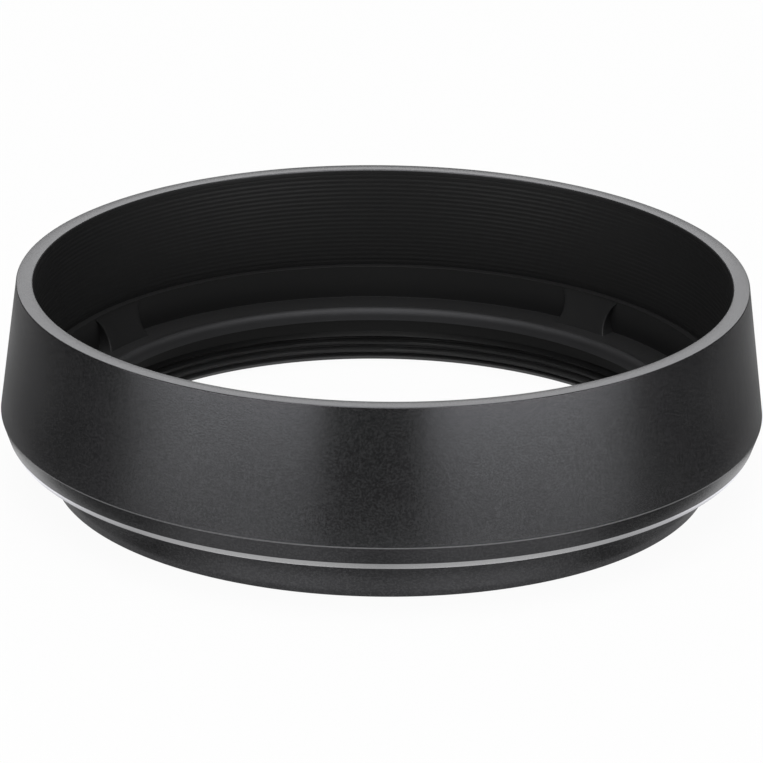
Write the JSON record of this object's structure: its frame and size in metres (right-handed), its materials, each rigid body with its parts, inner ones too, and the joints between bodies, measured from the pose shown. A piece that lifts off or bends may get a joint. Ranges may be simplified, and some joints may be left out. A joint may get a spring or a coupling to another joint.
{
  "type": "lens hood",
  "caption": "Low conical screw-on lens hood with a ridged light-trap liner, turning freely on a threaded mount ring.",
  "frame": {"origin": "on the lens axis, at the bottom face of the mount ring that the hood stands on", "axes": "+Z along the lens axis from the mount ring to the front rim, +Y away from the viewer, +X to the viewer's right"},
  "size_m": [0.0634, 0.0634, 0.0169],
  "materials": {
    "blasted_black": "bead-blasted black anodising, satin",
    "turned_black": "fine-turned black anodising, semi-gloss",
    "matt_black": "matt black anodising on turned ridges",
    "spring_steel": "blackened spring steel",
    "slip_polymer": "natural slip polymer"
  },
  "bodies": {
    "mount": {"mount_ring": "turned_black"},
    "hood": {"casing": "blasted_black", "ridged_liner": "matt_black", "spring_washer": "spring_steel", "slip_ring": "slip_polymer", "retaining_ring": "turned_black"}
  },
  "joints": [
    {"name": "hood_swivel", "type": "hinge", "parent": "mount", "child": "hood", "pos_m": [0, 0, 0.005], "axis": [0, 0, 1], "continuous": true}
  ]
}
